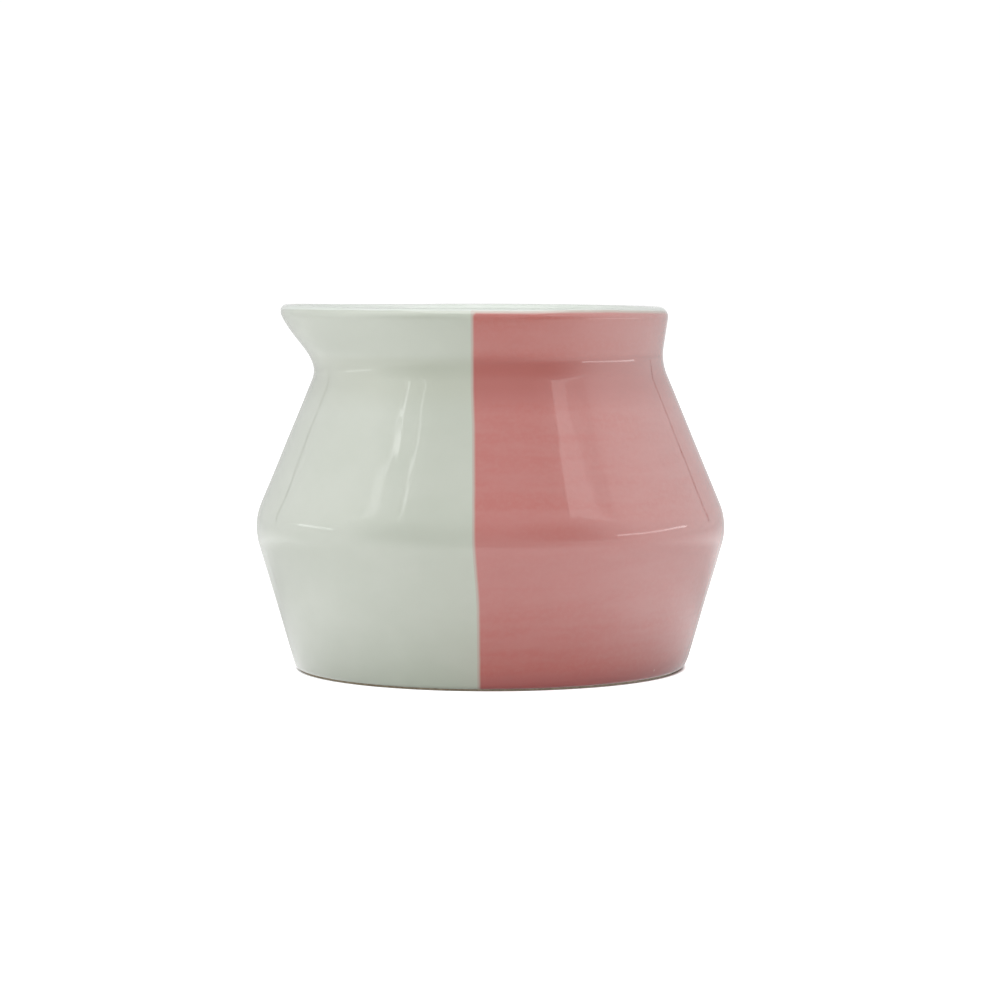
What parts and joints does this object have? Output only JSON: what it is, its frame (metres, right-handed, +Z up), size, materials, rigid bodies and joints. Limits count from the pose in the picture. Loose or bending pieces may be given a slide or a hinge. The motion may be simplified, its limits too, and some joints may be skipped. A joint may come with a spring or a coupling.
{
  "type": "tasting cup",
  "caption": "Small glazed ceramic tasting cup with a wide belly, drawn-in neck, flared collar and a soft pouring lip, white on the spout's side and pink on the other.",
  "frame": {"origin": "centre of the foot, on the surface that the cup stands on", "axes": "+Z up along the axis that the cup is turned on; the spout points to -X; -Y faces the picture's camera"},
  "size_m": [0.0838, 0.0838, 0.0651],
  "materials": {
    "fired_clay": "bare fired clay, matt and slightly grainy",
    "white_liner": "glossy off-white glaze",
    "white_coat": "glossy off-white glaze with a faint green cast",
    "pink_coat": "glossy dusty pink, brushed on in level strokes"
  },
  "bodies": {
    "root": {"clay_body": "fired_clay", "liner_glaze": "white_liner", "white_glaze": "white_coat", "pink_glaze": "pink_coat"}
  },
  "joints": []
}
